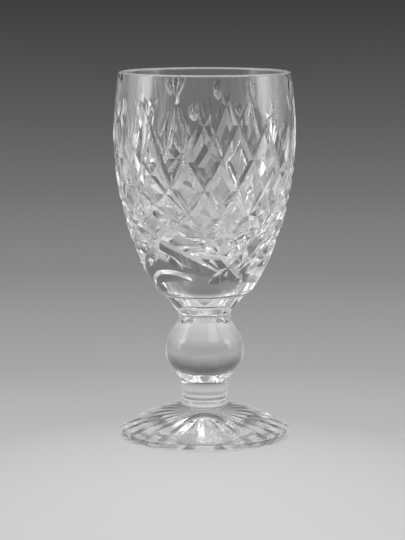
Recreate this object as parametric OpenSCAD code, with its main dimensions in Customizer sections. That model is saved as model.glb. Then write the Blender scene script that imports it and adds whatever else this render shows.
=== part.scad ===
// Sherry glass in clear cut crystal. A cut bowl sits on a dished collar, a ball knop,
// a short post and a low foot with a star cut underneath. The glass stands upright with
// the middle of its resting plane at the origin, +Z up and its front towards -Y.

/* [Bowl] */
// Outer diameter at the rim
rim_d = 50.5; // [49.5:0.1:51.5]
// How far the widest ring stands out beyond the rim, on each side
bowl_swell = 1.6; // [1.2:0.1:2]
// Height of the bowl from the edge of the collar to the rim
bowl_h = 65.9; // [63.9:0.2:67.9]
// Height of the widest ring above the edge of the collar
widest_h = 46.9; // [45.7:0.2:48.1]
// Roundness of the bowl's outline, where 2 is a true ellipse
bowl_round_share = 1.8; // [1.75:0.005:1.95]
// Diameter at which the side turns into the rounded bottom edge
base_d = 29.8; // [29.2:0.1:30.4]
// Height of the rounded bottom edge
base_h = 2.5; // [2.2:0.1:2.8]
// Wall at the rim
rim_wall = 1.4; // [1.2:0.05:1.7]
// Wall at the widest ring
bowl_wall = 2.9; // [2.7:0.05:3.3]
// Glass under the middle of the cavity
bowl_floor = 14; // [12:0.5:17]
// Roundness of the cavity's outline
cavity_round_share = 1.935; // [1.9:0.005:2.05]

/* [Cut pattern] */
// Turn of the front panel's middle, in degrees to the right of the front
pattern_turn = 22; // [0:1:60]
// Turn between a crossing and the next one half a diamond on, in degrees
column_turn = 11; // [10.5:0.1:11.5]
// Plain band between the rim and the top row of crossings
plain_band = 14.2; // [13:0.1:16]
// Drop from the top row of crossings to the second
row_step = 10; // [9.6:0.1:10.2]
// What each later drop is shorter by
row_ease = 1.2; // [1.1:0.02:1.24]
// Width of a diamond cut at the surface
mitre_w = 4.3; // [3.4:0.1:4.8]
// Depth of a diamond cut
mitre_depth = 1.05; // [0.7:0.05:1.2]
// Width of the sweeping cuts that bound a panel
sweep_w = 4.6; // [3.6:0.1:5]
// Depth of the sweeping cuts
sweep_depth = 1.15; // [0.7:0.05:1.3]
// Width of a ray in the fans
ray_w = 2; // [1.4:0.1:2.4]
// Depth of a ray
ray_depth = 0.6; // [0.4:0.05:0.8]
// Length of the longest ray
ray_l = 11; // [9:0.2:12]
// Width of a leaf cut below the panels
leaf_w = 3; // [2.4:0.1:3.6]
// Depth of a leaf cut
leaf_depth = 0.8; // [0.5:0.05:1]

/* [Collar] */
// Diameter of the edge that carries the bowl
seat_d = 23.8; // [23.2:0.1:24.4]
// Depth of the dish that the bowl's bottom fills
seat_dip = 2.5; // [2:0.1:2.8]
// Height of the collar at its edge
collar_h = 7.5; // [7.1:0.1:8]
// Diameter of the neck between collar and ball
neck_d = 15.5; // [15:0.1:16]
// Height of the straight part of the neck
neck_h = 2.2; // [1.8:0.1:2.6]

/* [Knop] */
// How far the ball stays inside the edge of the collar above it, on each side
ball_inset = 0.15; // [0:0.05:0.4]
// Height of the knop between its two seats
knop_h = 17.4; // [16.8:0.1:18]
// Height of the ball's widest ring above its lower seat
ball_h = 8.7; // [8.4:0.1:9]
// Radius of the ball's outline
ball_round_r = 8; // [7.8:0.1:8.4]

/* [Post] */
// Diameter of the post's top, where the knop seats
post_top_d = 14.9; // [14.6:0.1:15.2]
// Diameter of the post
post_d = 13.5; // [13.2:0.1:13.8]
// Diameter of the post's bottom edge, where it seats on the foot
post_base_d = 13.1; // [12.8:0.1:13.2]
// Height of the post
post_h = 6; // [5.6:0.1:6.4]
// Height of the flare under the post's top
flare_h = 2.2; // [1.8:0.1:2.6]
// Height of the bevel at the post's bottom edge
bevel_h = 0.6; // [0.5:0.05:0.8]

/* [Foot] */
// Diameter of the foot
foot_d = 50.5; // [49.6:0.1:51.6]
// Height of the foot at the post's seat
foot_h = 11.2; // [10.8:0.1:11.8]
// Diameter of the raised hub
hub_d = 17.4; // [16.8:0.1:18]
// Height of the hub's edge
hub_h = 9.3; // [9:0.1:9.6]
// Height of the foot's rim
foot_rim_h = 2.5; // [2.3:0.1:2.8]
// Radius of the rim's rounded edges
foot_edge_r = 0.7; // [0.5:0.05:0.8]
// How far the foot's top bulges above a straight cone
foot_bulge = 0.7; // [0.4:0.05:1]
// Width of the ring that the foot stands on
rest_w = 3.4; // [3:0.1:4]
// Rise of the hollow under the middle of the foot
foot_hollow = 0.9; // [0.6:0.05:1.2]
// Cuts in the star under the foot
star_cuts = 24; // [20:1:24]
// Radius at which the cuts begin
star_start_r = 5; // [4.5:0.1:6]
// Width of a star cut at the foot's edge
star_w = 5.6; // [5:0.1:5.8]
// Depth of a star cut at the foot's edge
star_depth = 1.25; // [1:0.05:1.4]

/* [Hidden] */

$fn = 96;

// Panels of diamonds round the bowl, the number that the pattern is laid out for
panels = 3;

// How far a cutting shape stands clear of the surface that it cuts
overrun = 0.7;
// How far a cut's tip has left the surface at its very end
lift_off = 0.04;
// Radius of the bend between the neck and the collar's flare
neck_bend_r = 1.6;

// Outer diameter at the widest ring
bowl_d = rim_d + 2 * bowl_swell;

// Diameter of the ball
ball_d = seat_d - 2 * ball_inset;

// Levels, from the resting plane up
post_z = foot_h;
knop_z = post_z + post_h;
collar_z = knop_z + knop_h;
seat_z = collar_z + collar_h;
rim_z = seat_z + bowl_h;
widest_z = seat_z + widest_h;
base_z = seat_z + base_h;
floor_z = seat_z - seat_dip + bowl_floor;
rim_centre_z = rim_z - rim_wall / 2;
top_row_z = rim_z - plain_band;

// Steps along each outline
lower_steps = 20;
upper_steps = 8;
cavity_steps = 18;
edge_steps = 6;
base_steps = 5;
seat_steps = 5;
ball_steps = 10;

// Reach of a rounded outline that narrows from radius wide to radius narrow over a height
function reach(wide, narrow, height, round_share) =
    height / pow(1 - pow(narrow / wide, round_share), 1 / round_share);
lower_reach = reach(bowl_d / 2, base_d / 2, widest_z - base_z, bowl_round_share);
upper_reach = reach(bowl_d / 2, rim_d / 2, rim_centre_z - widest_z, bowl_round_share);
cavity_r = bowl_d / 2 - bowl_wall;
cavity_rim_r = rim_d / 2 - rim_wall;
cavity_reach = reach(cavity_r, cavity_rim_r, rim_centre_z - widest_z, cavity_round_share);

// Radius of the bowl's outside at a height
function bowl_share(z) = abs(z - widest_z) / (z > widest_z ? upper_reach : lower_reach);
function bowl_r(z) =
    bowl_d / 2 * pow(1 - pow(bowl_share(z), bowl_round_share), 1 / bowl_round_share);
// Angle in degrees by which the bowl's outside faces up
function bowl_tilt(z) =
    let (s = bowl_share(z), span = z > widest_z ? upper_reach : -lower_reach)
    atan(bowl_d / 2 / span * pow(s, bowl_round_share - 1)
        * pow(1 - pow(s, bowl_round_share), 1 / bowl_round_share - 1));

// Points of an arc, in steps
function arc(centre, r, from, to, steps) =
    [for (i = [0:steps]) centre + r * [cos(from + (to - from) * i / steps),
        sin(from + (to - from) * i / steps)]];

// The dish between collar and bowl, from its edge to its middle
seat_round_r = (pow(seat_d / 2, 2) + pow(seat_dip, 2)) / (2 * seat_dip);
seat_spread = asin(seat_d / 2 / seat_round_r);
seat_curve = arc([0, seat_z - seat_dip + seat_round_r], seat_round_r,
    seat_spread - 90, -90, seat_steps);

// The rounded bottom edge is an arc from the seat that runs smoothly into the side
base_lean = -bowl_tilt(base_z);
base_rise = [(base_d - seat_d) / 2, base_h];
base_bend = atan2(base_rise[0], base_rise[1]) - base_lean;
base_round_r = norm(base_rise) / 2 / sin(base_bend);
base_curve = arc([base_d / 2, base_z] - base_round_r * [cos(base_lean), -sin(base_lean)],
    base_round_r, -base_lean - 2 * base_bend, -base_lean, base_steps);

// Outside of the bowl, from the seat up to the rim
bowl_outside = concat(
    [for (i = [1:base_steps]) base_curve[i]],
    [for (i = [1:lower_steps - 1]) let (z = base_z + (widest_z - base_z) * i / lower_steps)
        [bowl_r(z), z]],
    [for (i = [0:upper_steps]) let (z = widest_z + (rim_centre_z - widest_z) * i / upper_steps)
        [bowl_r(z), z]]);
bowl_rim = arc([rim_d / 2 - rim_wall / 2, rim_centre_z], rim_wall / 2, 0, 180, edge_steps);

// Inside of the bowl, from the rim down to the middle of the floor
function cavity_point(turn, span) =
    [cavity_r * pow(cos(turn), 2 / cavity_round_share),
        widest_z + span * pow(sin(turn), 2 / cavity_round_share)];
cavity_top_turn = acos(pow(cavity_rim_r / cavity_r, cavity_round_share / 2));
bowl_inside = concat(
    [for (i = [1:upper_steps])
        cavity_point(cavity_top_turn * (1 - i / upper_steps), cavity_reach)],
    [for (i = [1:cavity_steps - 1]) cavity_point(90 * i / cavity_steps, floor_z - widest_z)],
    [[0, floor_z]]);

// A place on the bowl, given its turn from the middle of a panel, its height and its depth
function outward(turn, z) =
    let (tilt = bowl_tilt(z))
    [sin(turn) * cos(tilt), -cos(turn) * cos(tilt), sin(tilt)];
function on_bowl(turn, z) =
    let (r = bowl_r(z))
    [r * sin(turn), -r * cos(turn), z];

// Height of a row of crossings, counted down from the top row
function row_z(row) = top_row_z - row * (row_step + row_ease / 2) + pow(row, 2) * row_ease / 2;

// A mitre cut along a path of [turn, height, share of the full depth] places
module mitre(path, width, depth) {
    flare = width / 2 / depth;
    last = len(path) - 1;
    sections = [for (i = [0:last])
        let (
            here = path[i],
            place = on_bowl(here[0], here[1]),
            before = path[max(i - 1, 0)],
            after = path[min(i + 1, last)],
            along = on_bowl(after[0], after[1]) - on_bowl(before[0], before[1]),
            out = outward(here[0], here[1]),
            side = cross(out, along) / norm(cross(out, along)),
            sunk = here[2] * (depth + lift_off) - lift_off,
            half = flare * (sunk + overrun)
        )
        each [place - sunk * out, place + overrun * out + half * side,
            place + overrun * out - half * side]];
    sides = [for (i = [0:last - 1], k = [0:2])
        let (a = 3 * i + k, b = 3 * i + (k + 1) % 3)
        each [[a, a + 3, b], [b, a + 3, b + 3]]];
    ends = [[0, 1, 2], [3 * last + 2, 3 * last + 1, 3 * last]];
    polyhedron(points = sections, faces = concat(sides, ends));
}

// Share of the full depth where a cut runs in from a tip, at a distance given in tip lengths
function run_in(far) = far >= 1 ? 1 : 1 - pow(1 - max(far, 0), 2);

// A cut that falls to the right across the pattern. Its row is a straight line on either
// side of a knee, blended where they meet. Columns and rows are counted in crossings.
// Each entry: knee [column, row], [upper slope, lower slope], [first column, last column],
// [tip length at the start, tip length at the end], where 0 ends square in another cut.
knee_blend_share = 0.35;
function falling_path(knee, slopes, ends, tips) =
    let (steps = ceil((ends[1] - ends[0]) / cut_step_share))
    [for (i = [0:steps])
        let (
            column = ends[0] + (ends[1] - ends[0]) * i / steps,
            x = column - knee[0],
            row = knee[1] + (slopes[0] + slopes[1]) / 2 * x
                - (slopes[0] - slopes[1]) / 2 * sqrt(pow(x, 2) + pow(knee_blend_share, 2)),
            start = tips[0] > 0 ? run_in((column - ends[0]) / tips[0]) : 1,
            stop = tips[1] > 0 ? run_in((ends[1] - column) / tips[1]) : 1
        )
        [column * column_turn, row_z(row), min(start, stop)]];
cut_step_share = 0.55;

// Columns from the middle of a panel to the line where the sweeping cuts cross at the top
panel_half = 180 / panels / column_turn;

// The sweeping cut on the left of a panel, which falls to the right
sweep_cut_shares = [[-4.6, 1.4], [1.65, 1], [-panel_half - 0.3, 1.7], [0.6, 1.2]];
// The diamond cuts, from the lowest on the left to the highest on the right
diamond_cut_shares = [
    [[0, 4], [1, 1], [-3.35, 1], [0.7, 0]],
    [[0, 2], [1, 1], [-2.35, 2], [0.7, 0]],
    [[3, 3], [1, 0.47], [-0.65, 10.2], [0.9, 1.5]],
    [[4, 2], [1, 0.41], [1.65, 2 * panel_half - 2], [0.7, 0]],
    [[2 * panel_half - 3, 3], [0.61, 0.61], [4.85, 2 * panel_half - 3], [0, 0]]
];

module falling_cuts() {
    mitre(falling_path(sweep_cut_shares[0], sweep_cut_shares[1], sweep_cut_shares[2],
        sweep_cut_shares[3]), sweep_w, sweep_depth);
    for (cut = diamond_cut_shares)
        mitre(falling_path(cut[0], cut[1], cut[2], cut[3]), mitre_w, mitre_depth);
}

// A ray that rises from a place on the pattern, leaning to the right by an angle
ray_profile_shares = [[0, 0], [0.35, 1], [0.75, 0.75], [1, 0]];
module ray(column, row, lean, length_share) {
    z = row_z(row);
    reach_l = ray_l * length_share;
    mitre([for (p = ray_profile_shares)
        [column * column_turn + reach_l * p[0] * sin(lean) / bowl_r(z) * 180 / PI,
            z + reach_l * p[0] * cos(lean), p[1]]], ray_w, ray_depth);
}

// A fan of rays. Each ray is [lean in degrees, share of the longest ray]
module fan(column, row, rays) {
    for (r = rays)
        ray(column, row, r[0], r[1]);
}
top_fan_shares = [[-17, 0.42], [0, 0.4], [17, 0.42]];
sweep_fan_shares = [[-34, 0.68], [-12, 0.58], [12, 0.58], [34, 0.68]];
shoulder_fan_shares = [[-20, 0.45], [-7, 0.5], [6, 0.5]];
side_fan_shares = [[-26, 0.8], [-13, 1], [0, 1]];

// A leaf, which is a short cut with two tips, from one [column, row] place to another
leaf_steps = 4;
module leaf(from, to, width, depth) {
    mitre([for (i = [0:leaf_steps])
        let (s = i / leaf_steps, place = from + (to - from) * s)
        [place[0] * column_turn, row_z(place[1]), 4 * s * (1 - s)]], width, depth);
}
leaf_shares = [
    [[panel_half + 0.35, 4.75], [panel_half + 1.75, 6]],
    [[panel_half + 3, 4.75], [panel_half + 4.7, 6]]
];

// A narrow leaf that runs down beside the sweeping cuts from the place where they cross
slip_shares = [[panel_half - 0.4, 0.05], [panel_half - 1.15, 0.75]];

// The fans and leaves on one side of a panel
module side_cuts() {
    fan(-3.15, 0.85, side_fan_shares);
    fan(-2.55, -0.12, shoulder_fan_shares);
    for (l = leaf_shares)
        leaf(l[0], l[1], leaf_w, leaf_depth);
    leaf(slip_shares[0], slip_shares[1], ray_w, ray_depth);
}

module each_panel() {
    for (i = [0:panels - 1])
        rotate(pattern_turn + i * 360 / panels) children();
}

module bowl_blank() {
    rotate_extrude()
        polygon(concat([for (i = [seat_steps:-1:0]) seat_curve[i]], bowl_outside,
            [for (i = [1:edge_steps]) bowl_rim[i]], bowl_inside));
}

module bowl() {
    color("lightcyan", 0.6)
        difference() {
            bowl_blank();
            each_panel()
                falling_cuts();
            each_panel()
                mirror([1, 0, 0]) falling_cuts();
            each_panel() {
                fan(0, -0.2, top_fan_shares);
                fan(panel_half, -0.15, sweep_fan_shares);
                side_cuts();
                mirror([1, 0, 0]) side_cuts();
            }
        }
}

// Bend between the straight neck and the collar's flare
flare_lean = atan2((seat_d - neck_d) / 2, collar_h - neck_h);
neck_bend = arc([neck_d / 2 + neck_bend_r, collar_z + neck_h
    - neck_bend_r * tan(flare_lean / 2)], neck_bend_r, 180, 180 - flare_lean, 4);

module collar() {
    color("lightblue", 0.6)
        rotate_extrude()
            polygon(concat([[0, collar_z], [neck_d / 2, collar_z]], neck_bend, seat_curve));
}

// The ball's outline is an arc round this radius, with a straight shoulder to each seat
ball_centre = [ball_d / 2 - ball_round_r, knop_z + ball_h];
// Angle on the arc at which a straight line to a point touches it
function touch_turn(p) =
    let (d = p - ball_centre)
    atan2(d[1], d[0]) - sign(d[1]) * acos(ball_round_r / norm(d));

module knop() {
    top = [neck_d / 2, collar_z];
    bottom = [post_top_d / 2, knop_z];
    color("lightcyan", 0.6)
        rotate_extrude()
            polygon(concat([[0, knop_z], bottom],
                arc(ball_centre, ball_round_r, touch_turn(bottom), touch_turn(top), ball_steps),
                [top, [0, collar_z]]));
}

// The flare under the post's top is an arc that starts upright
flare_in = (post_top_d - post_d) / 2;
flare_r = (pow(flare_in, 2) + pow(flare_h, 2)) / (2 * flare_in);

module post() {
    color("lightblue", 0.6)
        rotate_extrude()
            polygon(concat([[0, post_z], [post_base_d / 2, post_z],
                [post_d / 2, post_z + bevel_h]],
                arc([post_d / 2 + flare_r, knop_z - flare_h], flare_r,
                    180, 180 - asin(flare_h / flare_r), edge_steps),
                [[0, knop_z]]));
}

// The foot's rounded edge and the curve of its top
foot_r = foot_d / 2;
foot_edge = concat(
    arc([foot_r - foot_edge_r, foot_edge_r], foot_edge_r, -90, 0, edge_steps),
    arc([foot_r - foot_edge_r, foot_rim_h - foot_edge_r], foot_edge_r, 0, 70, edge_steps));
foot_top_steps = 10;
foot_top_start = foot_edge[len(foot_edge) - 1];
foot_top = [for (i = [1:foot_top_steps])
    let (s = i / foot_top_steps)
    foot_top_start + ([hub_d / 2, hub_h] - foot_top_start) * s
        + [0, foot_bulge * 4 * s * (1 - s)]];
// The bend between the hub and the post's seat
hub_bend_steps = 4;
hub_bend = [for (i = [1:hub_bend_steps])
    let (s = 90 * i / hub_bend_steps)
    [hub_d / 2 - (hub_d - post_base_d) / 2 * sin(s), foot_h - (foot_h - hub_h) * cos(s)]];

module foot_blank() {
    rotate_extrude()
        polygon(concat([[0, foot_hollow], [foot_r - foot_edge_r - rest_w, 0]], foot_edge,
            foot_top, hub_bend, [[0, foot_h]]));
}

// One cut of the star, a mitre whose keel rises from the hollow to the foot's edge
module star_cut() {
    rest_r = foot_r - foot_edge_r - rest_w;
    start_z = foot_hollow * (1 - star_start_r / rest_r);
    flare = star_w / 2 / star_depth;
    end_r = foot_r + overrun;
    keel_slope = (star_depth - start_z) / (foot_r - star_start_r);
    end_z = star_depth + overrun * keel_slope;
    polyhedron(
        points = [
            [0, -star_start_r, start_z],
            [-flare * (start_z + overrun), -star_start_r, -overrun],
            [flare * (start_z + overrun), -star_start_r, -overrun],
            [0, -end_r, end_z],
            [-flare * (end_z + overrun), -end_r, -overrun],
            [flare * (end_z + overrun), -end_r, -overrun]
        ],
        faces = [[0, 1, 2], [3, 5, 4], [0, 4, 1], [0, 3, 4], [0, 5, 3], [0, 2, 5],
            [1, 5, 2], [1, 4, 5]]);
}

module foot() {
    color("lightcyan", 0.6)
        difference() {
            foot_blank();
            for (i = [0:star_cuts - 1])
                rotate(i * 360 / star_cuts) star_cut();
        }
}

bowl();
collar();
knop();
post();
foot();
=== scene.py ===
"""Sherry glass in cut crystal: a diamond-cut bowl, collar, ball knop, post and star-cut foot."""

import logging
from collections.abc import Sequence
from dataclasses import dataclass, field
from enum import Enum
from functools import reduce
from math import acos, asin, atan, atan2, ceil, cos, degrees, hypot, pi, radians, sin, sqrt, tan

import bpy
import numpy as np
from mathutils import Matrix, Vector


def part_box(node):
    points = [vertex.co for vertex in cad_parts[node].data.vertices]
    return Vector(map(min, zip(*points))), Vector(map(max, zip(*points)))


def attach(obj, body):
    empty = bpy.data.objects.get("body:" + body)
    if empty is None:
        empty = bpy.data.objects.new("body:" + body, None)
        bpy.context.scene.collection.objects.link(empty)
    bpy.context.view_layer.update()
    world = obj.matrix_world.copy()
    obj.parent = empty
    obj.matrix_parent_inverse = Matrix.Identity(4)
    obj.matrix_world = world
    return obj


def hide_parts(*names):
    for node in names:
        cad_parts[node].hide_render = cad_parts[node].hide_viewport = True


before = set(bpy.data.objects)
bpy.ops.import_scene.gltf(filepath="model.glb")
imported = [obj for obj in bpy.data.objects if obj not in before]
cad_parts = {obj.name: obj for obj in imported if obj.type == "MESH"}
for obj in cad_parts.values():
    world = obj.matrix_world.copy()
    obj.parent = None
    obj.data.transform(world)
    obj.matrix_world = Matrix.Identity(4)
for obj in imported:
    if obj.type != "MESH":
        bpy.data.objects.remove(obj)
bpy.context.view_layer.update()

MM = 0.001
ROOT = "root"
LOG = logging.getLogger("sherry_glass")

# Height in metres at which the lamps and soft boxes aim, just above the glass's middle
AIM_Z = 0.06
# Below this a length counts as none
NIL = 1e-9
WHITE = (1.0, 1.0, 1.0)

Point = tuple[float, float]
Colour = tuple[float, float, float]
Shell = tuple[np.ndarray, list[list[int]]]


def box_width(box: tuple[Vector, Vector]) -> float:
    """Width of a CAD node's box, in millimetres."""
    return (box[1][0] - box[0][0]) / MM


def stand(name: str, data: bpy.types.ID) -> bpy.types.Object:
    """Stand a new object in the scene.

    Args:
        name: Its name.
        data: Its mesh, light or camera.

    Returns:
        The object.
    """
    made = bpy.data.objects.new(name, data)
    bpy.context.scene.collection.objects.link(made)
    return made


def read(items: bpy.types.bpy_prop_collection, name: str, size: int = 1) -> np.ndarray:
    """Read one property of all vertices, corners or faces of a mesh.

    Args:
        items: The vertices, corners or faces.
        name: The property's name.
        size: How many numbers it holds: 1 for a whole number, 3 for a vector.

    Returns:
        Its value for each item, with vectors as rows.
    """
    found = np.empty(len(items) * size, dtype=np.int32 if size == 1 else np.float32)
    items.foreach_get(name, found)
    return found if size == 1 else found.reshape(-1, size).astype(float)


class Surface(Enum):
    """Which surface of a piece a face belongs to, as its material index."""

    BODY = 0
    LINING = 1
    RIM = 2
    SEAT = 3
    CUT = 4


class Value:
    """A shader socket that carries a number, with operators that add Math nodes."""

    def __init__(self, nodes: "Shader", socket: bpy.types.NodeSocket) -> None:
        """Wrap one output socket.

        Args:
            nodes: The shader whose tree the socket belongs to.
            socket: The output socket.
        """
        self.nodes = nodes
        self.socket = socket

    def _math(self, operation: str, *others: "Value | float") -> "Value":
        """Add one Math node.

        Args:
            operation: The Math node's operation.
            others: The inputs after the first.

        Returns:
            The node's output.
        """
        return self.nodes.add("ShaderNodeMath", {"operation": operation}, self, *others)

    def __add__(self, other: "Value | float") -> "Value":
        """Sum."""
        return self._math("ADD", other)

    __radd__ = __add__

    def __sub__(self, other: "Value | float") -> "Value":
        """Difference."""
        return self._math("SUBTRACT", other)

    def __rsub__(self, other: float) -> "Value":
        """Difference from a number."""
        return self.nodes.add("ShaderNodeMath", {"operation": "SUBTRACT"}, other, self)

    def __mul__(self, other: "Value | float") -> "Value":
        """Product."""
        return self._math("MULTIPLY", other)

    __rmul__ = __mul__

    def __truediv__(self, other: "Value | float") -> "Value":
        """Quotient."""
        return self._math("DIVIDE", other)

    def __lt__(self, other: "Value | float") -> "Value":
        """One where this is less, else zero."""
        return self._math("LESS_THAN", other)

    def __abs__(self) -> "Value":
        """Size without sign."""
        return self._math("ABSOLUTE")

    def root(self) -> "Value":
        """Square root."""
        return self._math("SQRT")

    def larger(self, other: "Value | float") -> "Value":
        """The larger of two values."""
        return self._math("MAXIMUM", other)


class Shader:
    """One material's or world's node tree, built up by calls."""

    def __init__(self, owner: bpy.types.Material | bpy.types.World) -> None:
        """Empty the owner's node tree.

        Args:
            owner: The material or world.
        """
        owner.use_nodes = True
        self.tree = owner.node_tree
        self.tree.nodes.clear()

    def make(self, kind: str, settings: dict, named: dict, *inputs: object) -> bpy.types.Node:
        """Add a node, with its settings first and its sockets after.

        Args:
            kind: The node's type.
            settings: Properties of the node, with a ramp's greys as stops.
            named: Socket names with the values or links that they take.
            inputs: Values or links for the sockets in order, or None to pass over one.

        Returns:
            The node.
        """
        node = self.tree.nodes.new(kind)
        for key, setting in settings.items():
            if key == "stops":
                self._stops(node.color_ramp, setting)
            else:
                setattr(node, key, setting)
        for key, given in [*enumerate(inputs), *named.items()]:
            if isinstance(given, Value):
                self.tree.links.new(given.socket, node.inputs[key])
            elif given is not None:
                node.inputs[key].default_value = given
        return node

    @staticmethod
    def _stops(ramp: bpy.types.ColorRamp, stops: Sequence[Point]) -> None:
        """Give a ramp its grey stops.

        Args:
            ramp: The colour ramp.
            stops: Places and greys.
        """
        while len(ramp.elements) < len(stops):
            ramp.elements.new(0.5)
        for element, (place, grey) in zip(ramp.elements, stops):
            element.position = place
            element.color = (grey, grey, grey, 1.0)

    def add(self, kind: str, settings: dict, *inputs: object, out: int | str = 0,
            **named: object) -> Value:
        """Add a node and wrap one of its outputs.

        Args:
            kind: The node's type.
            settings: Properties of the node.
            inputs: Values or links for the sockets in order.
            out: Which output to wrap.
            named: Values or links by socket name, with _ for a space.

        Returns:
            The wrapped output.
        """
        sockets = {key.replace("_", " "): given for key, given in named.items()}
        node = self.make(kind, settings, sockets, *inputs)
        return Value(self, node.outputs[out])

    def mix(self, share: Value, low: Colour, high: Colour) -> Value:
        """Mix two colours.

        Args:
            share: How much of the second colour.
            low: The first colour.
            high: The second colour.

        Returns:
            The mixed colour.
        """
        # The colours' sockets stand behind those for numbers and vectors
        skipped = [None] * 5
        return self.add("ShaderNodeMix", {"data_type": "RGBA"}, share, *skipped,
                        (*low, 1.0), (*high, 1.0), out=2)

    def matt(self, colour: Value | tuple, glow: Value | None = None) -> Value:
        """Make a surface without any gloss.

        Args:
            colour: The surface's colour.
            glow: The light that it gives off.

        Returns:
            The shader.
        """
        return self.add("ShaderNodeBsdfPrincipled", {}, Base_Color=colour, Roughness=1.0,
                        Specular_IOR_Level=0.0, Emission_Color=glow,
                        Emission_Strength=0.0 if glow is None else 1.0)

    def clear(self, tone: float = 1.0) -> Value:
        """A surface that lets light pass straight through, dimmed to a tone."""
        return self.add("ShaderNodeBsdfTransparent", {}, (tone, tone, tone, 1.0))

    def position(self) -> Value:
        """The shaded point, in metres."""
        return self.add("ShaderNodeNewGeometry", {}, out="Position")

    def place(self) -> tuple[Value, Value, Value]:
        """The shaded point's X, Y and Z, in metres."""
        node = self.make("ShaderNodeSeparateXYZ", {}, {}, self.position())
        return tuple(Value(self, node.outputs[axis]) for axis in range(3))

    def finish(self, shader: Value, target: str = "ShaderNodeOutputMaterial") -> None:
        """Link the last shader to the output.

        Args:
            shader: The surface shader.
            target: The output node's type.
        """
        self.make(target, {}, {"Surface": shader})


@dataclass(frozen=True)
class CrystalFinish:
    """Clear lead crystal as the fire polishes it, with its lengths in metres.

    Light passes straight through the seats, where pieces are fused, and through resting, the
    share of the flats on the floor that touches it.
    """

    name: str
    ripple: float = 0.02 * MM
    ripple_size: float = 7 * MM
    haze: float = 0.0
    wear: float = 0.02
    smear_size: float = 9 * MM
    smear_stops: tuple[Point, ...] = ((0.55, 0.0), (0.8, 1.0))
    tint: Colour = (0.985, 0.992, 0.995)
    index: float = 1.545
    shadow_tone: float = 0.93
    seat_slack: float = 0.02 * MM
    resting: float = 0.0

    def material(self, flat_seats: Sequence[float] = (),
                 dish: "Dish | None" = None) -> bpy.types.Material:
        """Make the material.

        Args:
            flat_seats: Heights of the piece's flat seats, in millimetres.
            dish: Its dished seat.

        Returns:
            The material.
        """
        made = bpy.data.materials.new(self.name)
        s = Shader(made)
        x, y, z = s.place()
        position = s.position()
        waves = s.add("ShaderNodeTexNoise", {}, Vector=position, Scale=1 / self.ripple_size,
                      Detail=1.0, Roughness=0.4)
        bump = s.add("ShaderNodeBump", {}, Height=waves * self.ripple, Strength=1.0,
                     Distance=1.0)
        smears = s.add("ShaderNodeTexNoise", {}, Vector=position, Scale=1 / self.smear_size,
                       Detail=3.0, Roughness=0.6)
        worn = s.add("ShaderNodeValToRGB", {"stops": self.smear_stops}, smears)
        glass = s.add("ShaderNodeBsdfPrincipled", {}, Base_Color=s.mix(smears, self.tint, WHITE),
                      Roughness=worn * self.wear + self.haze, IOR=self.index,
                      Transmission_Weight=1.0, Normal=bump)
        fused = [abs(z - height * MM) < self.seat_slack for height in flat_seats]
        if dish:
            up = z - dish.centre_z * MM
            out = (x * x + y * y + up * up).root()
            fused.append((abs(out - dish.radius * MM) < self.seat_slack)
                         * (z < dish.edge_z * MM))
        if self.resting:
            fused.append((abs(z) < self.seat_slack) * self.resting)
        if fused:
            glass = s.add("ShaderNodeMixShader", {}, reduce(Value.larger, fused), glass,
                          s.clear())
        shadow = s.add("ShaderNodeLightPath", {}, out="Is Shadow Ray")
        s.finish(s.add("ShaderNodeMixShader", {}, shadow, glass, s.clear(self.shadow_tone)))
        return made


@dataclass(frozen=True)
class FootFinish(CrystalFinish):
    """The same crystal on the foot, whose flats touch the floor in a few spots."""

    resting: float = 0.03


@dataclass(frozen=True)
class BowlCutFinish(CrystalFinish):
    """The same crystal in the bowl's cuts, finely rippled and a little hazy."""

    ripple: float = 0.01 * MM
    ripple_size: float = 2.5 * MM
    haze: float = 0.1
    wear: float = 0.08


@dataclass(frozen=True)
class StarCutFinish(CrystalFinish):
    """The same crystal in the star under the foot, flatter and hazier than the bowl's cuts."""

    ripple: float = 0.004 * MM
    ripple_size: float = 3 * MM
    haze: float = 0.14
    wear: float = 0.03


@dataclass
class Stretch:
    """A smooth stretch of an outline, in millimetres, that turns about the axis."""

    points: list[Point]
    surface: Surface = Surface.BODY

    @property
    def is_flat_seat(self) -> bool:
        """Whether this is a seat that lies level."""
        rise = self.points[-1][1] - self.points[0][1]
        return self.surface is Surface.SEAT and abs(rise) < NIL

    def normals(self) -> np.ndarray:
        """Work out the outward normals at the points.

        Returns:
            One unit normal for each point, as radius and height.
        """
        run = np.gradient(np.array(self.points), axis=0)
        out = np.stack([run[:, 1], -run[:, 0]], axis=1)
        return out / np.linalg.norm(out, axis=1, keepdims=True)


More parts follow.
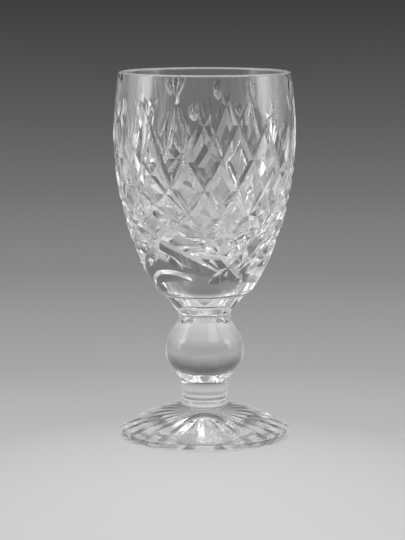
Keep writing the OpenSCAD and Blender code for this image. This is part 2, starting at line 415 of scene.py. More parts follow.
class Outline:
    """An outline to turn, which makes a solid where it runs from the axis back to the axis."""

    def __init__(self, stretches: list[Stretch]) -> None:
        """Keep the stretches, which run counterclockwise seen with radius to the right.

        Args:
            stretches: From the bottom up the outside, each from where the last one ends.
        """
        self.stretches = stretches

    def flat_seats(self) -> list[float]:
        """Heights of the level seats, in millimetres."""
        return [stretch.points[0][1] for stretch in self.stretches if stretch.is_flat_seat]

    def mesh(self, name: str, segments: int) -> bpy.types.Mesh:
        """Turn the outline about the axis.

        Args:
            name: The mesh's name.
            segments: Steps round the axis.

        Returns:
            The turned mesh in metres, with Surface values as its material indices.
        """
        points: list[Point] = []
        bands: list[int] = []
        for stretch in self.stretches:
            start = 0 if not points else 1
            points += stretch.points[start:]
            bands += [stretch.surface.value] * (len(stretch.points) - 1)
        angles = np.arange(segments) * 2 * pi / segments
        vertices, rows = [], []
        for r, z in points:
            if r < NIL:
                rows.append([len(vertices)] * segments)
                vertices.append((0.0, 0.0, z * MM))
            else:
                rows.append(list(range(len(vertices), len(vertices) + segments)))
                vertices += [(r * sin(a) * MM, -r * cos(a) * MM, z * MM) for a in angles]
        faces, kinds = [], []
        for low, high, kind in zip(rows, rows[1:], bands):
            for i in range(segments):
                j = (i + 1) % segments
                corners = [low[i], low[j], high[j], high[i]]
                faces.append([c for k, c in enumerate(corners) if c != corners[k - 1]])
                kinds.append(kind)
        mesh = bpy.data.meshes.new(name)
        mesh.from_pydata(vertices, [], faces)
        mesh.polygons.foreach_set("material_index", kinds)
        mesh.update()
        return mesh

    def normals_at(self, places: np.ndarray, surface: Surface) -> np.ndarray:
        """Work out true normals of the turned surface.

        Args:
            places: Points near the surface, in metres.
            surface: Which surface they are on.

        Returns:
            One unit normal for each place.
        """
        radius = np.hypot(places[:, 0], places[:, 1]) / MM
        flat = np.stack([radius, places[:, 2] / MM], axis=1)
        best = np.full(len(flat), np.inf)
        found = np.zeros((len(flat), 2))
        for stretch in self.stretches:
            if stretch.surface is not surface:
                continue
            p, n = np.array(stretch.points), stretch.normals()
            for a, b, na, nb in zip(p, p[1:], n, n[1:]):
                run = b - a
                t = np.clip(((flat - a) @ run) / (run @ run), 0, 1)
                gap = np.linalg.norm(flat - a - t[:, None] * run, axis=1)
                nearer = gap < best
                best[nearer] = gap[nearer]
                found[nearer] = (na + t[:, None] * (nb - na))[nearer]
        around = places[:, :2] / np.maximum(radius * MM, NIL)[:, None]
        out = np.column_stack([around * found[:, :1], found[:, 1]])
        return out / np.linalg.norm(out, axis=1, keepdims=True)


def arc(centre: Point, radius: float, start: float, end: float, steps: int) -> list[Point]:
    """Points of an arc.

    Args:
        centre: Its centre.
        radius: Its radius.
        start: First angle, in degrees.
        end: Last angle, in degrees.
        steps: How many steps.

    Returns:
        The points.
    """
    turns = [radians(start + (end - start) * i / steps) for i in range(steps + 1)]
    return [(centre[0] + radius * cos(t), centre[1] + radius * sin(t)) for t in turns]


def line(start: Point, end: Point, steps: int) -> list[Point]:
    """Points of a straight line.

    Args:
        start: Its start.
        end: Its end.
        steps: How many steps.

    Returns:
        The points.
    """
    return [(start[0] + (end[0] - start[0]) * i / steps,
             start[1] + (end[1] - start[1]) * i / steps) for i in range(steps + 1)]


@dataclass
class Levels:
    """Heights of the seats and the rim, read from the frame, in millimetres."""

    post: float = field(default_factory=lambda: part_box("post")[0][2] / MM)
    knop: float = field(default_factory=lambda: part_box("knop")[0][2] / MM)
    collar: float = field(default_factory=lambda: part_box("collar")[0][2] / MM)
    seat: float = field(default_factory=lambda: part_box("collar")[1][2] / MM)
    dish: float = field(default_factory=lambda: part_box("bowl")[0][2] / MM)
    rim: float = field(default_factory=lambda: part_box("bowl")[1][2] / MM)


@dataclass
class Dish:
    """The rounded seat between collar and bowl, in millimetres."""

    edge_z: float
    middle_z: float
    edge_r: float = 11.9
    steps: int = 12

    @property
    def radius(self) -> float:
        """Radius of the ball that the dish is part of."""
        dip = self.edge_z - self.middle_z
        return (self.edge_r ** 2 + dip ** 2) / (2 * dip)

    @property
    def centre_z(self) -> float:
        """Height of that ball's centre."""
        return self.middle_z + self.radius

    def rising(self) -> list[Point]:
        """Draw the dish.

        Returns:
            Its points from the middle out to the edge.
        """
        spread = degrees(asin(self.edge_r / self.radius))
        points = arc((0, self.centre_z), self.radius, -90, spread - 90, self.steps)
        return [(0.0, self.middle_z)] + points[1:]


@dataclass
class Piece:
    """One fused piece of the glass, which its own class draws and cuts."""

    node: str
    finish: CrystalFinish
    levels: Levels
    cut_finish: CrystalFinish | None = None
    dish: Dish | None = None
    segments: int = 192
    seat_steps: int = 4
    smooth_angle: float = 14.0

    def outline(self) -> Outline:
        """The piece before it is cut."""
        raise NotImplementedError

    def shells(self) -> list[Shell]:
        """The solids that its cuts take away."""
        return []

    def build(self) -> bpy.types.Object:
        """Turn, cut, shade and dress the piece, and put it in the place of its CAD node.

        Returns:
            The finished object.
        """
        outline, shells = self.outline(), self.shells()
        mesh = outline.mesh(self.node, self.segments)
        if shells:
            mesh = carve(self.node, mesh, shells)
        self._shade(mesh, outline)
        self._dress(mesh, outline.flat_seats())
        made = stand("crystal_" + self.node, mesh)
        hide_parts(self.node)
        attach(made, ROOT)
        LOG.info("%s: %d faces", made.name, len(mesh.polygons))
        return made

    def _dress(self, mesh: bpy.types.Mesh, flat_seats: list[float]) -> None:
        """Give a mesh its material, and its cuts theirs.

        Args:
            mesh: The mesh, with Surface values as its material indices.
            flat_seats: Heights of its flat seats, in millimetres.
        """
        materials = [self.finish.material(flat_seats, self.dish)]
        if self.cut_finish:
            materials.append(self.cut_finish.material())
        are_cut = read(mesh.polygons, "material_index") == Surface.CUT.value
        mesh.materials.clear()
        for material in materials:
            mesh.materials.append(material)
        mesh.polygons.foreach_set("material_index", are_cut * (len(materials) - 1))
        mesh.validate()

    def _shade(self, mesh: bpy.types.Mesh, outline: Outline) -> None:
        """Give turned faces their true normals, and cut faces crisp edges.

        Args:
            mesh: The mesh, with Surface values as its material indices.
            outline: The outline that it was turned from.
        """
        mesh.shade_smooth()
        mesh.set_sharp_from_angle(angle=radians(self.smooth_angle))
        normals = read(mesh.corner_normals, "vector", 3)
        places = read(mesh.vertices, "co", 3)[read(mesh.loops, "vertex_index")]
        kinds = np.repeat(read(mesh.polygons, "material_index"),
                          read(mesh.polygons, "loop_total"))
        for surface in Surface:
            here = kinds == surface.value
            if surface is not Surface.CUT and here.any():
                normals[here] = outline.normals_at(places[here], surface)
        mesh.normals_split_custom_set(normals.tolist())


def wedge_faces(sections: int) -> list[list[int]]:
    """Close a wedge whose three-cornered sections are numbered one after another.

    Args:
        sections: How many sections it has.

    Returns:
        Its faces, which point outward where the corners turn clockwise seen along the wedge.
    """
    last = 3 * (sections - 1)
    faces = [[2, 1, 0], [last, last + 1, last + 2]]
    for a in range(last):
        b = a - 2 if a % 3 == 2 else a + 1
        faces.append([a, b, b + 3, a + 3])
    return faces


@dataclass
class Cut:
    """A mitre cut with a keel, along a path of turn in degrees, height in mm and depth share.

    Its solid stands out of the glass by overrun, and leaves it by lift_off where the depth
    share is nothing.
    """

    path: list[tuple[float, float, float]]
    width: float
    depth: float
    overrun: float = 0.7
    lift_off: float = 0.04

    def mirrored(self) -> "Cut":
        """The same cut on the other side of the panel's middle."""
        return Cut([(-turn, z, share) for turn, z, share in self.path], self.width, self.depth)

    def shell(self, wall: "BowlWall", turn: float) -> Shell:
        """Work out the solid that the cut takes away.

        Args:
            wall: The bowl's outside.
            turn: Turn of the panel's middle, in degrees.

        Returns:
            Points in millimetres, and faces.
        """
        flare = self.width / 2 / self.depth
        places = [wall.place(t + turn, z) for t, z, _ in self.path]
        points = []
        last = len(self.path) - 1
        for i, (t, z, share) in enumerate(self.path):
            out = wall.outward(t + turn, z)
            along = places[min(i + 1, last)] - places[max(i - 1, 0)]
            side = np.cross(out, along)
            side /= np.linalg.norm(side)
            sunk = share * (self.depth + self.lift_off) - self.lift_off
            half = flare * (sunk + self.overrun)
            top = places[i] + self.overrun * out
            points += [places[i] - sunk * out, top + half * side, top - half * side]
        return np.array(points), wedge_faces(len(places))


@dataclass
class BowlWall:
    """The bowl's outside and cavity, as rounded outlines on either side of the widest ring."""

    levels: Levels
    width: float = field(default_factory=lambda: box_width(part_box("bowl")))
    rim_d: float = 50.5
    base_d: float = 29.8
    base_h: float = 2.5
    widest_h: float = 46.9
    round_power: float = 1.8
    rim_wall: float = 1.4
    wall: float = 2.9
    floor: float = 14.0
    cavity_power: float = 1.935
    side_rings: int = 90
    cavity_steps: int = 90
    cavity_top_steps: int = 30
    edge_steps: int = 14

    def __post_init__(self) -> None:
        """Work out the heights and reaches of the rounded outlines."""
        self.widest_z = self.levels.seat + self.widest_h
        self.rim_centre_z = self.levels.rim - self.rim_wall / 2
        self.base_z = self.levels.seat + self.base_h
        up, n = self.rim_centre_z - self.widest_z, self.round_power
        self.upper = self._reach(self.width / 2, self.rim_d / 2, up, n)
        self.lower = self._reach(self.width / 2, self.base_d / 2, self.widest_h - self.base_h, n)
        self.cavity_r = self.width / 2 - self.wall
        self.cavity_rim_r = self.rim_d / 2 - self.rim_wall
        self.cavity_upper = self._reach(self.cavity_r, self.cavity_rim_r, up, self.cavity_power)
        self.floor_z = self.levels.dish + self.floor

    @staticmethod
    def _reach(wide: float, narrow: float, height: float, n: float) -> float:
        """Reach of an outline of power n that narrows from wide to narrow over a height."""
        return height / (1 - (narrow / wide) ** n) ** (1 / n)

    def radius(self, z: float) -> float:
        """Work out the radius of the outside.

        Args:
            z: Height, in millimetres.

        Returns:
            The radius, in millimetres.
        """
        n = self.round_power
        share = abs(z - self.widest_z) / (self.upper if z > self.widest_z else self.lower)
        return self.width / 2 * (1 - share ** n) ** (1 / n)

    def tilt(self, z: float) -> float:
        """Work out how far the outside faces up.

        Args:
            z: Height, in millimetres.

        Returns:
            The angle, in radians.
        """
        n = self.round_power
        reach = self.upper if z > self.widest_z else -self.lower
        share = abs(z - self.widest_z) / abs(reach)
        return atan(self.width / 2 / reach * share ** (n - 1)
                    * (1 - share ** n) ** (1 / n - 1))

    def outward(self, turn: float, z: float) -> np.ndarray:
        """Outward unit normal of the outside, at a turn in degrees and a height."""
        tilt, t = self.tilt(z), radians(turn)
        return np.array([sin(t) * cos(tilt), -cos(t) * cos(tilt), sin(tilt)])

    def place(self, turn: float, z: float) -> np.ndarray:
        """Point on the outside in millimetres, at a turn in degrees and a height."""
        r, t = self.radius(z), radians(turn)
        return np.array([r * sin(t), -r * cos(t), z])

    def _cavity(self, turn: float, span: float) -> Point:
        """Work out a point of the cavity's outline.

        Args:
            turn: Angle from the widest ring, in degrees.
            span: Rise from that ring to the end of the curve, negative when it falls.

        Returns:
            The point.
        """
        power = 2 / self.cavity_power
        return (self.cavity_r * max(cos(radians(turn)), 0.0) ** power,
                self.widest_z + span * sin(radians(turn)) ** power)

    def _bottom_edge(self, seat_r: float) -> list[Point]:
        """Round the edge from the seat up to the side, which it meets smoothly.

        Args:
            seat_r: Radius of the seat.

        Returns:
            The points.
        """
        lean = -degrees(self.tilt(self.base_z))
        out, up = self.base_d / 2 - seat_r, self.base_h
        bend = degrees(atan2(out, up)) - lean
        r = hypot(out, up) / 2 / sin(radians(bend))
        centre = (self.base_d / 2 - r * cos(radians(lean)),
                  self.base_z + r * sin(radians(lean)))
        return arc(centre, r, -lean - 2 * bend, -lean, self.edge_steps)

    def outline(self, dish: Dish) -> Outline:
        """Draw the bowl before it is cut.

        Args:
            dish: The seat in the collar.

        Returns:
            The outline.
        """
        rim, fall = self.rim_centre_z, self.floor_z - self.widest_z
        side = [(self.radius(z), z) for z in np.linspace(self.base_z, rim, self.side_rings)]
        outside = self._bottom_edge(dish.edge_r) + side[1:]
        edge = arc((self.rim_d / 2 - self.rim_wall / 2, rim), self.rim_wall / 2, 0, 180,
                   self.edge_steps)
        top = degrees(acos((self.cavity_rim_r / self.cavity_r) ** (self.cavity_power / 2)))
        upper = [self._cavity(top * (1 - i / self.cavity_top_steps), self.cavity_upper)
                 for i in range(self.cavity_top_steps + 1)]
        lower = [self._cavity(90 * i / self.cavity_steps, fall)
                 for i in range(1, self.cavity_steps)]
        lining = upper + lower + [(0.0, self.floor_z)]
        return Outline([Stretch(dish.rising(), Surface.SEAT), Stretch(outside),
                        Stretch(edge, Surface.RIM), Stretch(lining, Surface.LINING)])


@dataclass
class Pattern:
    """The cuts on the bowl. Columns and rows count crossings, as steps of half a diamond.

    The size of a kind of cut is its width and depth in millimetres. ray_depths holds shares
    of a ray's length, with the shares of its depth there.
    """

    wall: BowlWall
    panels: int = 3
    front_turn: float = 22.0
    column_turn: float = 11.0
    plain_band: float = 14.2
    row_step: float = 10.0
    row_ease: float = 1.2
    step: float = 0.14
    knee_blend: float = 0.35
    mitre: Point = (4.3, 1.05)
    sweep: Point = (4.6, 1.15)
    ray: Point = (2.0, 0.6)
    ray_length: float = 11.0
    ray_depths: tuple[Point, ...] = (
        (0, 0), (0.08, 0.42), (0.18, 0.75), (0.35, 1), (0.55, 0.95), (0.75, 0.72), (0.9, 0.38),
        (1, 0))
    leaf: Point = (3.0, 0.8)
    leaf_steps: int = 12

    def __post_init__(self) -> None:
        """Work out where the panels meet and how high the pattern reaches."""
        self.half = 180 / self.panels / self.column_turn
        self.top_z = self.wall.levels.rim - self.plain_band

    def row_z(self, row: float) -> float:
        """Height of a row of crossings, which stand closer further down."""
        return (self.top_z - row * (self.row_step + self.row_ease / 2)
                + row ** 2 * self.row_ease / 2)

    def falling(self, knee: Point, slopes: Point, ends: Point, tips: Point,
                size: Point) -> Cut:
        """Draw a cut that falls to the right, straight on either side of a knee.

        Args:
            knee: Column and row of the knee.
            slopes: Rows per column before and after it.
            ends: First and last column.
            tips: Tip length at the start and the end, in columns, or 0 for a square end.
            size: Width and depth.

        Returns:
            The cut.
        """
        steps = ceil((ends[1] - ends[0]) / self.step)
        path = []
        for i in range(steps + 1):
            column = ends[0] + (ends[1] - ends[0]) * i / steps
            x = column - knee[0]
            row = (knee[1] + (slopes[0] + slopes[1]) / 2 * x
                   - (slopes[0] - slopes[1]) / 2 * sqrt(x * x + self.knee_blend ** 2))
            start = self._run_in((column - ends[0]) / tips[0]) if tips[0] else 1.0
            stop = self._run_in((ends[1] - column) / tips[1]) if tips[1] else 1.0
            path.append((column * self.column_turn, self.row_z(row), min(start, stop)))
        return Cut(path, *size)

    @staticmethod
    def _run_in(far: float) -> float:
        """Depth share at a distance from a tip, counted in tip lengths."""
        return 1 - (1 - min(max(far, 0.0), 1.0)) ** 2

    def rising_ray(self, column: float, row: float, lean: float, share: float) -> Cut:
        """Draw a ray of a fan.

        Args:
            column: Column of its foot.
            row: Row of its foot.
            lean: Lean to the right, in degrees.
            share: Share of the longest ray.

        Returns:
            The cut.
        """
        z, length = self.row_z(row), self.ray_length * share
        turn, around = column * self.column_turn, length * sin(radians(lean))
        path = [(turn + degrees(around * at / self.wall.radius(z)),
                 z + length * at * cos(radians(lean)), depth) for at, depth in self.ray_depths]
        return Cut(path, *self.ray)

    def fan(self, column: float, row: float, *rays: Point) -> list[Cut]:
        """Rays from one place, each with its lean in degrees and its share of the longest."""
        return [self.rising_ray(column, row, lean, share) for lean, share in rays]

    def leaf_cut(self, start: Point, end: Point, size: Point) -> Cut:
        """Draw a short cut with two tips, deepest in its middle.

        Args:
            start: Column and row of one tip.
            end: Column and row of the other.
            size: Width and depth.

        Returns:
            The cut.
        """
        path = []
        for i, (column, row) in enumerate(line(start, end, self.leaf_steps)):
            s = i / self.leaf_steps
            path.append((column * self.column_turn, self.row_z(row), 4 * s * (1 - s)))
        return Cut(path, *size)

    def cuts(self) -> list[Cut]:
        """Lay out the cuts of one panel: those that have a mirrored twin, and the middle ones.

        Returns:
            Every cut of the panel.
        """
        half = self.half
        falling = [
            self.falling((-4.6, 1.4), (1.65, 1), (-half - 0.3, 1.7), (0.6, 1.2), self.sweep),
            self.falling((0, 4), (1, 1), (-3.35, 1), (0.7, 0), self.mitre),
            self.falling((0, 2), (1, 1), (-2.35, 2), (0.7, 0), self.mitre),
            self.falling((3, 3), (1, 0.47), (-0.65, 10.2), (0.9, 1.5), self.mitre),
            self.falling((4, 2), (1, 0.41), (1.65, 2 * half - 2), (0.7, 0), self.mitre),
            self.falling((2 * half - 3, 3), (0.61, 0.61), (4.85, 2 * half - 3), (0, 0),
                         self.mitre),
        ]
        twins = falling + self.fan(-3.15, 0.85, (-26, 0.8), (-13, 1), (0, 1))
        twins += self.fan(-2.55, -0.12, (-20, 0.45), (-7, 0.5), (6, 0.5))
        twins += [self.leaf_cut((half + 0.35, 4.75), (half + 1.75, 6), self.leaf),
                  self.leaf_cut((half + 3, 4.75), (half + 4.7, 6), self.leaf),
                  self.leaf_cut((half - 0.4, 0.05), (half - 1.15, 0.75), self.ray)]
        middle = self.fan(0, -0.2, (-17, 0.42), (0, 0.4), (17, 0.42))
        middle += self.fan(half, -0.15, (-34, 0.68), (-12, 0.58), (12, 0.58), (34, 0.68))
        return twins + [cut.mirrored() for cut in twins] + middle

    def shells(self) -> list[Shell]:
        """Work out the solid that each cut takes away, once in every panel.

        Returns:
            One shell for each cut of a panel.
        """
        made = []
        for cut in self.cuts():
            points, faces = [], []
            for i in range(self.panels):
                p, f = cut.shell(self.wall, self.front_turn + i * 360 / self.panels)
                faces += [[i * len(p) + v for v in face] for face in f]
                points.append(p)
            made.append((np.concatenate(points), faces))
        return made


def carve(name: str, blank: bpy.types.Mesh, shells: list[Shell]) -> bpy.types.Mesh:
    """Cut solids out of a blank, one after another.

    Args:
        name: Name of the finished mesh.
        blank: The mesh before it is cut.
        shells: Points in millimetres and faces of each solid to take away.

    Returns:
        The cut mesh, whose new faces have the index of Surface.CUT.
    """
    slots = [bpy.data.materials.new(f"{name}_{surface.name.lower()}") for surface in Surface]
    for slot in slots:
        blank.materials.append(slot)
    body = stand(name + "_blank", blank)
    tools = []
    for i, (points, faces) in enumerate(shells):
        mesh = bpy.data.meshes.new(f"{name}_cut_{i}")
        mesh.from_pydata((points * MM).tolist(), [], faces)
        for slot in slots:
            mesh.materials.append(slot)
        mesh.polygons.foreach_set("material_index", [Surface.CUT.value] * len(mesh.polygons))
        mesh.update()
        tools.append(stand(mesh.name, mesh))
        step = body.modifiers.new(mesh.name, "BOOLEAN")
        step.operation = "DIFFERENCE"
        step.solver = "MANIFOLD"
        step.object = tools[-1]
    graph = bpy.context.evaluated_depsgraph_get()
    cut = bpy.data.meshes.new_from_object(body.evaluated_get(graph), depsgraph=graph)
    cut.name = name
    for made in tools + [body]:
        mesh = made.data
        bpy.data.objects.remove(made)
        bpy.data.meshes.remove(mesh)
    for slot in slots:
        bpy.data.materials.remove(slot)
    return cut


@dataclass
class Bowl(Piece):
    """The blown cup with its cut pattern."""

    def __post_init__(self) -> None:
        """Keep the wall, which the outline and the cuts share."""
        self.wall = BowlWall(self.levels)

    def outline(self) -> Outline:
        """The bowl before it is cut."""
        return self.wall.outline(self.dish)

    def shells(self) -> list[Shell]:
        """The solids that the pattern's cuts take away."""
        return Pattern(self.wall).shells()


@dataclass
class Collar(Piece):
    """The dished ring that carries the bowl."""

    neck_d: float = 15.5
    neck_h: float = 2.2
    bend_r: float = 1.6
    bend_steps: int = 8

    def outline(self) -> Outline:
        """Draw the collar.

        Returns:
            The outline.
        """
        base, neck = self.levels.collar, self.neck_d / 2
        lean = degrees(atan2(self.dish.edge_r - neck, self.levels.seat - base - self.neck_h))
        centre = (neck + self.bend_r,
                  base + self.neck_h - self.bend_r * tan(radians(lean / 2)))
        bend = arc(centre, self.bend_r, 180, 180 - lean, self.bend_steps)
        side = [(neck, base)] + bend + [(self.dish.edge_r, self.levels.seat)]
        return Outline([
            Stretch(line((0, base), (neck, base), self.seat_steps), Surface.SEAT),
            Stretch(side),
            Stretch(self.dish.rising()[::-1], Surface.SEAT)])


@dataclass
class Knop(Piece):
    """The solid ball of the stem."""

    neck_d: float = 15.5
    post_top_d: float = 14.9
    ball_h: float = 8.7
    round_r: float = 8.0
    ball_steps: int = 40
    shoulder_steps: int = 6

    def outline(self) -> Outline:
        """Draw the knop.

        Returns:
            The outline.
        """
        low, high, steps = self.levels.knop, self.levels.collar, self.shoulder_steps
        centre = (box_width(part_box("knop")) / 2 - self.round_r, low + self.ball_h)
        bottom, top = (self.post_top_d / 2, low), (self.neck_d / 2, high)
        ball = arc(centre, self.round_r, self._touch(bottom, centre), self._touch(top, centre),
                   self.ball_steps)
        side = line(bottom, ball[0], steps)[:-1] + ball + line(ball[-1], top, steps)[1:]
        return Outline([
            Stretch(line((0, low), bottom, self.seat_steps), Surface.SEAT),
            Stretch(side),
            Stretch(line(top, (0, high), self.seat_steps), Surface.SEAT)])

    def _touch(self, point: Point, centre: Point) -> float:
        """Find where a straight line from a point touches the ball's arc.

        Args:
            point: The point.
            centre: The arc's centre.

        Returns:
            The angle on the arc, in degrees.
        """
        x, y = point[0] - centre[0], point[1] - centre[1]
        side = 1 if y > 0 else -1
        return degrees(atan2(y, x) - side * acos(self.round_r / hypot(x, y)))


@dataclass
class Post(Piece):
    """The short plain stem between the ball and the foot."""

    top_d: float = 14.9
    middle_d: float = 13.5
    base_d: float = 13.1
    flare_h: float = 2.2
    bevel_h: float = 0.6
    flare_steps: int = 12
    bevel_steps: int = 4
    side_steps: int = 6

    def outline(self) -> Outline:
        """Draw the post.

        Returns:
            The outline.
        """
        low, high = self.levels.post, self.levels.knop
        flare_in = (self.top_d - self.middle_d) / 2
        flare_r = (flare_in ** 2 + self.flare_h ** 2) / (2 * flare_in)
        flare = arc((self.middle_d / 2 + flare_r, high - self.flare_h), flare_r, 180,
                    180 - degrees(asin(self.flare_h / flare_r)), self.flare_steps)
        bevel = line((self.base_d / 2, low), (self.middle_d / 2, low + self.bevel_h),
                     self.bevel_steps)
        side = line(bevel[-1], flare[0], self.side_steps)[:-1] + flare
        return Outline([
            Stretch(line((0, low), bevel[0], self.seat_steps), Surface.SEAT),
            Stretch(bevel),
            Stretch(side),
            Stretch(line(flare[-1], (0, high), self.seat_steps), Surface.SEAT)])


@dataclass
class Foot(Piece):
    """The low cone with a raised hub and a star of cuts underneath.

    The star's cuts run out of the glass by star_lead at their inner ends, and by below under
    the flats and past the edge.
    """

    post_base_d: float = 13.1
    hub_d: float = 17.4
    hub_h: float = 9.3
    rim_h: float = 2.5
    edge_r: float = 0.7
    edge_turn: float = 70.0
    bulge: float = 0.7
    rest_w: float = 3.4
    hollow: float = 0.9
    star_cuts: int = 24
    star_start_r: float = 5.0
    star_w: float = 5.6
    star_depth: float = 0.55
    star_lead: float = 0.1
    star_shells: int = 3
    below: float = 0.05
    hollow_steps: int = 12
    rest_steps: int = 2
    edge_steps: int = 8
    cone_steps: int = 40
    bend_steps: int = 10

    def __post_init__(self) -> None:
        """Work out the radii of the foot and of the flats that it rests on."""
        self.foot_r = box_width(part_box("foot")) / 2
        self.flat_r = self.foot_r - self.edge_r
        self.rest_r = self.flat_r - self.rest_w

    def outline(self) -> Outline:
        """Draw the foot before it is cut.

        Returns:
            The outline.
        """
        top = self.levels.post
        edge = arc((self.flat_r, self.edge_r), self.edge_r, -90, 0, self.edge_steps)
        edge += arc((self.flat_r, self.rim_h - self.edge_r), self.edge_r, 0, self.edge_turn,
                    self.edge_steps)
        straight = line(edge[-1], (self.hub_d / 2, self.hub_h), self.cone_steps)
        cone = []
        for i, (r, z) in enumerate(straight):
            s = i / self.cone_steps
            cone.append((r, z + self.bulge * 4 * s * (1 - s)))
        turns = [radians(90 * i / self.bend_steps) for i in range(self.bend_steps + 1)]
        bend = [(self.hub_d / 2 - (self.hub_d - self.post_base_d) / 2 * sin(t),
                 top - (top - self.hub_h) * cos(t)) for t in turns]
        return Outline([
            Stretch(line((0, self.hollow), (self.rest_r, 0), self.hollow_steps)),
            Stretch(line((self.rest_r, 0), (self.flat_r, 0), self.rest_steps)),
            Stretch(edge, Surface.RIM),
            Stretch(cone),
            Stretch(bend, Surface.LINING),
            Stretch(line(bend[-1], (0, top), self.seat_steps), Surface.SEAT)])

    def shells(self) -> list[Shell]:
        """Work out the solids that the star's cuts take away.

        Returns:
            As many shells as it takes for no cut to meet its neighbour in one of them.
        """
        start_z = self.hollow * (1 - self.star_start_r / self.rest_r)
        slope = (self.star_depth - start_z) / (self.foot_r - self.star_start_r)
        flare = self.star_w / 2 / self.star_depth
        sections = ((self.star_start_r, start_z - self.star_lead), (self.rest_r, -self.below),
                    (self.foot_r + self.below, -self.below))
        made = []
        for first in range(self.star_shells):
            points, faces = [], []
            for i in range(first, self.star_cuts, self.star_shells):
                base, turn = len(points), 2 * pi * i / self.star_cuts
                for r, low in sections:
                    keel = start_z + slope * (r - self.star_start_r)
                    half = flare * (keel - low)
                    points += [(x * cos(turn) + r * sin(turn), x * sin(turn) - r * cos(turn), z)
                               for x, z in ((0, keel), (-half, low), (half, low))]
                faces += [[base + v for v in face] for face in wedge_faces(len(sections))]
            made.append((np.array(points), faces))
        return made


@dataclass(frozen=True)
class Glow:
    """A soft box on the tent's wall, with its angles in degrees."""

    turn: float
    rise: float
    spread: float
    strength: float

    def toward(self) -> tuple[float, float, float]:
        """Unit direction from the glass, with turn to the right of the front."""
        t, e = radians(self.turn), radians(self.rise)
        return sin(t) * cos(e), -cos(t) * cos(e), sin(e)


@dataclass(frozen=True)
class SoftLight:
    """A round tent of soft light close about the glass, as light bent in the glass meets it.

    Its tones run from the middle of the floor out to the tent's foot and on up to its crown.
    They pass over to those of the side as x grows through side_blend, and to those of the
    front as y falls through front_blend, both as shares of the distance from the axis. A
    ramp holds tones up to ramp_top.
    """

    radius: float = 0.18
    straight: float = 0.25
    crown: float = 0.35
    crown_r: float = 0.0002
    dome_step: int = 4
    back: tuple[Point, ...] = (
        (0.0, 0.76), (0.025, 0.68), (0.05, 0.55), (0.085, 0.49), (0.145, 0.42), (0.18, 0.38),
        (0.21, 0.40), (0.235, 0.26), (0.26, 0.115), (0.285, 0.11), (0.305, 0.19), (0.34, 0.18),
        (0.395, 0.40), (0.45, 0.65), (0.505, 0.80), (0.78, 0.90))
    side: tuple[Point, ...] = (
        (0.0, 0.60), (0.05, 0.57), (0.085, 0.78), (0.145, 0.80), (0.195, 0.60), (0.22, 0.80),
        (0.24, 1.10), (0.28, 1.0), (0.34, 1.0), (0.395, 1.35), (0.505, 1.15), (0.58, 0.6))
    front: tuple[Point, ...] = (
        (0.0, 0.40), (0.018, 0.48), (0.027, 0.65), (0.048, 0.55), (0.085, 0.42),
        (0.145, 0.22), (0.195, 0.10), (0.22, 0.15), (0.25, 0.04), (0.28, 0.35), (0.31, 0.1),
        (0.34, 0.04), (0.395, 0.5), (0.505, 0.8), (0.63, 0.35), (0.78, 0.3))
    glows: tuple[Glow, ...] = (
        Glow(-80, 23, 15, 3.4), Glow(79, 20, 15, 2.8), Glow(-80, 2, 12, 1.6),
        Glow(80, 2, 12, 1.4), Glow(38, 45, 20, 1.8))
    side_blend: Point = (0.88, 0.99)
    front_blend: Point = (-0.35, -0.65)
    ramp_top: float = 2.0

    def tone(self, s: Shader, far: Value) -> Value:
        """Work out the light at a place on the floor or on the tent.

        Args:
            s: The material's nodes.
            far: Distance in metres along the floor and then up the tent.

        Returns:
            How bright the place is.
        """
        x, y, z = s.place()
        up = z - AIM_Z
        flat = (x * x + y * y).root()
        reach = (flat * flat + up * up).root()
        span = self.back[-1][0]
        back, side, front = (
            s.add("ShaderNodeValToRGB",
                  {"stops": [(at / span, tone / self.ramp_top) for at, tone in stops]},
                  far / span) for stops in (self.back, self.side, self.front))
        aside = s.add("ShaderNodeMapRange", {"interpolation_type": "SMOOTHSTEP"},
                      abs(x) / flat, *self.side_blend)
        ahead = s.add("ShaderNodeMapRange", {"interpolation_type": "SMOOTHSTEP"},
                      y / flat, *self.front_blend)
        light = back + (front - back) * ahead
        light = (light + (side - light) * aside) * self.ramp_top
        for glow in self.glows:
            a, b, c = glow.toward()
            near = (x * a + y * b + up * c) / reach
            soft = s.add("ShaderNodeMapRange", {"interpolation_type": "SMOOTHERSTEP"}, near,
                         cos(radians(glow.spread)), 1.0)
            light = light + soft * glow.strength
        return light

    def show(self, s: Shader, light: Value, plain: Value) -> None:
        """Finish a material that shows this light to bent and mirrored light only.

        Args:
            s: The material's nodes.
            light: How bright it is for bent and mirrored light.
            plain: The surface that everything else meets.
        """
        path = s.make("ShaderNodeLightPath", {}, {})
        bent = Value(s, path.outputs["Is Transmission Ray"]).larger(
            Value(s, path.outputs["Is Glossy Ray"]))
        s.finish(s.add("ShaderNodeMixShader", {}, bent, plain,
                       s.matt((0.0, 0.0, 0.0, 1.0), light)))

    def material(self) -> bpy.types.Material:
        """Make the tent's own material.

        Returns:
            The material.
        """
        made = bpy.data.materials.new("soft_tent")
        s = Shader(made)
        self.show(s, self.tone(s, s.place()[2] + self.radius), s.clear())
        return made

    def outline(self) -> list[Point]:
        """Draw the tent's wall and dome, open at the crown.

        Returns:
            Radius and height of its points, in metres.
        """
        dome = [(self.radius * cos(radians(a)), self.straight + self.crown * sin(radians(a)))
                for a in range(0, 89, self.dome_step)]
        return [(self.radius, 0.0)] + dome + [(self.crown_r, self.straight + self.crown)]


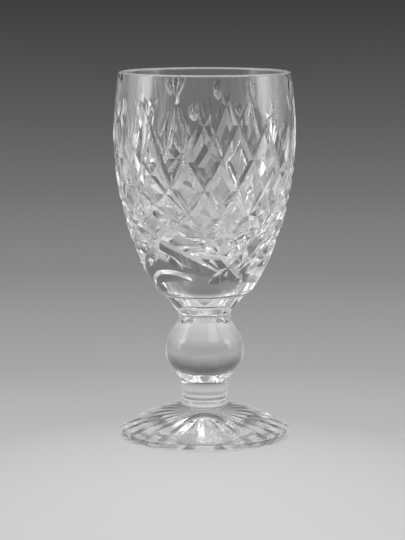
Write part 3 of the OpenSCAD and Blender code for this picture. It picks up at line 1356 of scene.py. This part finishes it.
@dataclass(frozen=True)
class PaintedFalloffSweep:
    """A seamless studio sweep, pale at the glass and darker away from it, as painted light and
    shade.

    It darkens with the way behind the glass, half as fast to the sides, and from far_start on
    in front as well. Its grey falls off over the floor, stays even round the bend and falls
    again up the wall.
    """

    soft: SoftLight
    reach: float = 1.4
    # Painted light and shade: greys that fall off with distance from the glass, palest there
    stops: tuple[Point, ...] = (
        (0.0, 0.41), (0.02, 0.32), (0.08, 0.26), (0.25, 0.2), (0.57, 0.2), (0.65, 0.15),
        (0.77, 0.07), (1.0, 0.05))
    far_start: float = 0.25

    def material(self) -> bpy.types.Material:
        """Make the material.

        Returns:
            The material.
        """
        made = bpy.data.materials.new("studio_sweep")
        s = Shader(made)
        x, y, z = s.place()
        far = (x * x + y * y + z * z).root()
        away = ((far + y) / 2).larger(far - self.far_start) / self.reach
        # The ramp paints the light's falloff into the sweep's grey: a painted pool of light at
        # the glass and painted shade further off
        tone = s.add("ShaderNodeValToRGB", {"stops": self.stops}, away)
        self.soft.show(s, self.soft.tone(s, far), s.matt(tone))
        return made


@dataclass(frozen=True)
class Lamp:
    """A soft box that lights the glass and isn't seen in it, in metres and watts."""

    name: str
    place: tuple[float, float, float]
    size: Point
    power: float

    def build(self) -> None:
        """Stand the lamp in its place and aim it at the glass."""
        light = bpy.data.lights.new(self.name, "AREA")
        light.shape = "RECTANGLE"
        light.size, light.size_y = self.size
        light.energy = self.power
        lamp = stand(self.name, light)
        lamp.location = self.place
        aim = Vector((0, 0, AIM_Z)) - Vector(self.place)
        lamp.rotation_euler = aim.to_track_quat("-Z", "Y").to_euler()
        lamp.visible_camera = False
        lamp.visible_glossy = False
        lamp.visible_transmission = False


@dataclass
class Studio:
    """The floor, backdrop, lamps, world and camera, in metres and degrees."""

    floor_rings: tuple[float, ...] = (0.0, 0.1, 0.3)
    floor_r: float = 0.75
    bend_r: float = 0.55
    bend_steps: int = 24
    wall_h: float = 1.6
    segments: int = 96
    contact_gap: float = 0.03 * MM
    lamps: tuple[Lamp, ...] = (
        Lamp("soft_left", (-0.62, -0.12, 0.26), (0.16, 0.34), 2.2),
        Lamp("soft_right", (0.62, -0.18, 0.16), (0.14, 0.24), 1.6),
        Lamp("soft_front", (0.34, -0.62, 0.46), (0.14, 0.2), 1.6),
        Lamp("soft_top", (0.0, 0.05, 1.1), (0.7, 0.7), 13.0))
    world_grey: float = 0.5
    camera_far: float = 0.640
    camera_height: float = 0.13896
    camera_side: float = -0.00062
    camera_pitch: float = 7.973
    focal_px: float = 2184.5
    picture_h_px: float = 540.0
    sensor: float = 36.0

    def build(self) -> None:
        """Build everything round the glass."""
        soft = SoftLight()
        sweep = [(r, 0.0) for r in self.floor_rings]
        sweep += arc((self.floor_r, self.bend_r), self.bend_r, -90, 0, self.bend_steps)
        sweep.append((self.floor_r + self.bend_r, self.wall_h))
        sweep = [(r, z - self.contact_gap) for r, z in sweep]
        self._surround("studio_sweep", sweep, PaintedFalloffSweep(soft).material())
        self._surround("soft_tent", soft.outline(), soft.material())
        for lamp in self.lamps:
            lamp.build()
        self._world()
        self._camera()
        scene = bpy.context.scene
        scene.view_settings.view_transform = "Standard"
        scene.cycles.max_bounces = 32
        scene.cycles.transmission_bounces = 28
        scene.cycles.glossy_bounces = 12
        scene.cycles.transparent_max_bounces = 32
        scene.cycles.sample_clamp_indirect = 6.0
        scene.cycles.use_denoising = True

    def _surround(self, name: str, profile: list[Point], material: bpy.types.Material) -> None:
        """Turn a smooth part of the stage round the glass.

        Args:
            name: Its name.
            profile: Radius and height of its outline, in metres.
            material: What it is made of.
        """
        outline = Outline([Stretch([(r / MM, z / MM) for r, z in profile])])
        mesh = outline.mesh(name, self.segments)
        mesh.shade_smooth()
        mesh.materials.append(material)
        made = stand(name, mesh)

    def _world(self) -> None:
        """Make a dim, even world."""
        world = bpy.data.worlds.new("studio")
        bpy.context.scene.world = world
        s = Shader(world)
        grey = (self.world_grey,) * 3 + (1.0,)
        s.finish(s.add("ShaderNodeBackground", {}, grey, 1.0), "ShaderNodeOutputWorld")

    def _camera(self) -> None:
        """Stand the camera at the photographed height, distance and pitch."""
        data = bpy.data.cameras.new("camera")
        data.sensor_width = self.sensor
        data.lens = self.focal_px * self.sensor / self.picture_h_px
        camera = stand("camera", data)
        camera.location = (self.camera_side, -self.camera_far, self.camera_height)
        camera.rotation_euler = (radians(90 - self.camera_pitch), 0, 0)
        bpy.context.scene.camera = camera


def main() -> None:
    """Build the studio and the five pieces of the glass, from the foot up."""
    logging.basicConfig(level=logging.INFO, format="%(name)s: %(message)s")
    Studio().build()
    levels = Levels()
    dish = Dish(levels.seat, levels.dish)
    Foot("foot", FootFinish("foot_crystal"), levels, StarCutFinish("foot_cut_crystal")).build()
    Post("post", CrystalFinish("post_crystal"), levels).build()
    Knop("knop", CrystalFinish("knop_crystal"), levels).build()
    Collar("collar", CrystalFinish("collar_crystal"), levels, dish=dish).build()
    Bowl("bowl", CrystalFinish("bowl_crystal"), levels, BowlCutFinish("bowl_cut_crystal"),
         dish).build()


if __name__ == "__main__":
    main()
